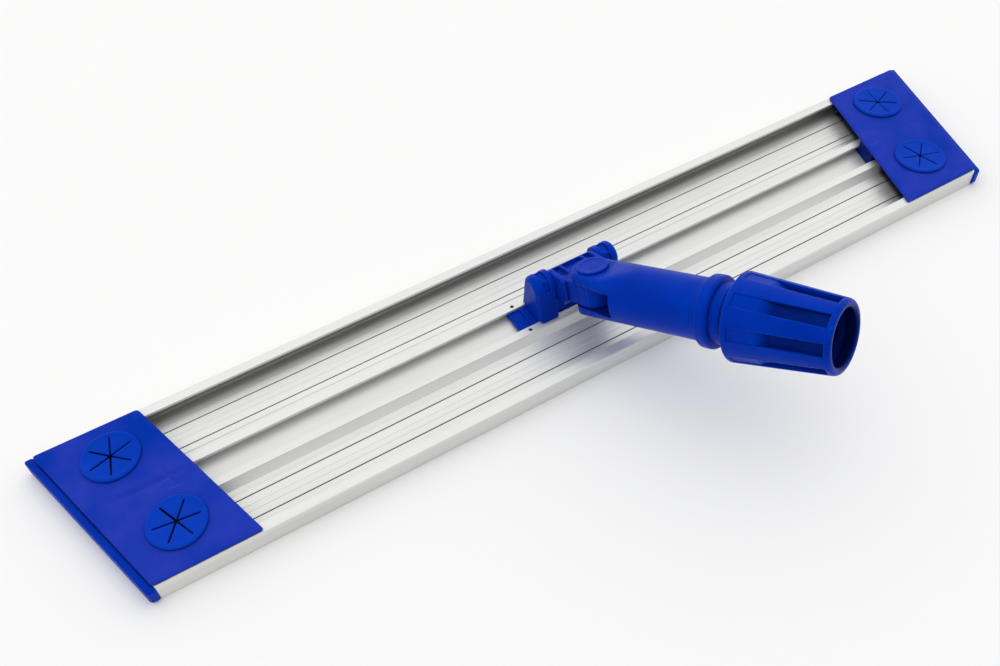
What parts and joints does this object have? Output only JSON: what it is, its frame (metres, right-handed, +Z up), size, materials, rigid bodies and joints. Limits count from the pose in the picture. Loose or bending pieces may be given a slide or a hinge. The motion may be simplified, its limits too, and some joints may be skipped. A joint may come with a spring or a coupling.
{
  "type": "flat mop",
  "caption": "Flat mop frame: aluminium profile with plastic ends, cloth grips and a universal joint with a clamping handle socket.",
  "frame": {"origin": "centre of the frame's underside, on the floor", "axes": "+X along the frame's length, +Y towards its longer back edge, +Z up; the handle socket leans towards -Y"},
  "size_m": [0.6066, 0.2072, 0.0967],
  "materials": {
    "anodised": "satin anodised",
    "blue_plastic": "satin moulded",
    "plate_blue": "satin moulded",
    "soft_blue": "soft matt",
    "steel": "ground",
    "hook_tape": "hook tape"
  },
  "bodies": {
    "frame": {"frame_extrusion": "anodised", "hook_strip_back": "hook_tape", "hook_strip_front": "hook_tape", "end_cap_left": "blue_plastic", "end_cap_right": "blue_plastic", "grip_plate_left": "plate_blue", "grip_plate_right": "plate_blue", "star_grip_left_back": "soft_blue", "star_grip_left_front": "soft_blue", "star_grip_right_back": "soft_blue", "star_grip_right_front": "soft_blue", "joint_foot": "blue_plastic", "tilt_pin": "steel"},
    "knuckle": {"knuckle": "blue_plastic"},
    "socket": {"socket_body": "blue_plastic", "swing_pin": "blue_plastic", "swing_pin_cap": "blue_plastic"},
    "collet": {"clamp_collet": "blue_plastic"},
    "nut": {"grip_nut": "blue_plastic"}
  },
  "joints": [
    {"name": "tilt", "type": "hinge", "parent": "frame", "child": "knuckle", "pos_m": [0, 0, 0.027], "axis": [1, 0, 0], "range_deg": [-150, 10]},
    {"name": "swing", "type": "hinge", "parent": "knuckle", "child": "socket", "pos_m": [0, -0.02443, 0.03589], "axis": [0, 0.342, 0.9397], "range_deg": [-91, 45]},
    {"name": "clamp_slide", "type": "slide", "parent": "socket", "child": "collet", "axis": [0.3907, -0.865, 0.3148], "range_m": [-0.00151, 0.00301]},
    {"name": "nut_spin", "type": "hinge", "parent": "collet", "child": "nut", "pos_m": [0.03907, -0.11093, 0.06738], "axis": [0.3907, -0.865, 0.3148], "range_deg": [-180, 360]}
  ],
  "couplings": [
    {"joint": "clamp_slide", "follows": "nut_spin", "m_per_rad": 0.00047746}
  ]
}
